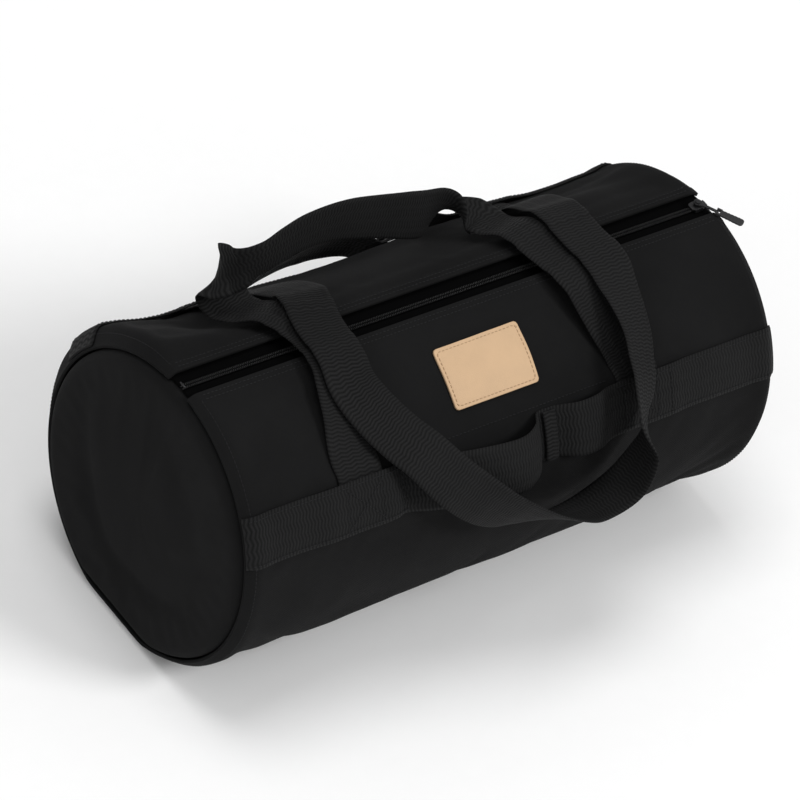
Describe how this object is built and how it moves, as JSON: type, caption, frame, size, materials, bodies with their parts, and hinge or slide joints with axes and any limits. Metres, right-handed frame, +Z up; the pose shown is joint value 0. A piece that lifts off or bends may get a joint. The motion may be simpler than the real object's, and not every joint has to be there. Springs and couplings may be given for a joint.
{
  "type": "rope storage bag",
  "caption": "Black canvas barrel bag for climbing rope, with a top zip, webbing carry handles, gear webbing along both sides and a blank leather patch.",
  "frame": {"origin": "on the floor, under the middle of the barrel", "axes": "+X along the barrel to the end where the closed zip's slider stands, -Y to the side with the patch, +Z up"},
  "size_m": [0.5209, 0.3063, 0.309],
  "materials": {
    "canvas": "matte woven canvas",
    "webbing": "ribbed webbing",
    "zip_tape": "matte woven tape",
    "zip_coil": "satin nylon",
    "hardware": "black enamel",
    "grip": "moulded matte",
    "leather": "tan, natural grain"
  },
  "bodies": {
    "root": {"barrel_panel": "canvas", "end_panel_left": "canvas", "end_panel_right": "canvas", "seam_binding_left": "webbing", "seam_binding_right": "webbing", "zip_tape_front": "zip_tape", "zip_tape_back": "zip_tape", "zip_coil_front": "zip_coil", "zip_coil_back": "zip_coil", "zip_stop_left": "hardware", "zip_stop_right": "hardware", "front_gear_webbing": "webbing", "back_gear_webbing": "webbing", "front_handle_leg_left": "webbing", "front_handle_leg_right": "webbing", "back_handle_leg_left": "webbing", "back_handle_leg_right": "webbing", "leather_patch": "leather"},
    "slider": {"zip_slider": "hardware"},
    "pull_link": {"zip_pull_link": "hardware"},
    "pull_grip": {"zip_pull_grip": "grip"},
    "front_loop": {"front_handle": "webbing"},
    "back_loop": {"back_handle": "webbing"}
  },
  "joints": [
    {"name": "zip_slide", "type": "slide", "parent": "root", "child": "slider", "axis": [-1, 0, 0], "range_m": [0, 0.484]},
    {"name": "pull_swing", "type": "hinge", "parent": "slider", "child": "pull_link", "pos_m": [0.243, 0, 0.24385], "axis": [0, 0, 1], "range_deg": [-25, 120]},
    {"name": "pull_lift", "type": "hinge", "parent": "pull_link", "child": "pull_grip", "pos_m": [0.2515, -0.01472, 0.24385], "axis": [-0.866, -0.5, 0], "range_deg": [0, 95]},
    {"name": "front_handle_swing", "type": "hinge", "parent": "root", "child": "front_loop", "pos_m": [0, 0.05001, 0.24078], "axis": [1, 0, 0], "range_deg": [-20, 60]},
    {"name": "back_handle_lift", "type": "hinge", "parent": "root", "child": "back_loop", "pos_m": [0, -0.03217, 0.25633], "axis": [-1, 0, 0], "range_deg": [0, 120]}
  ]
}
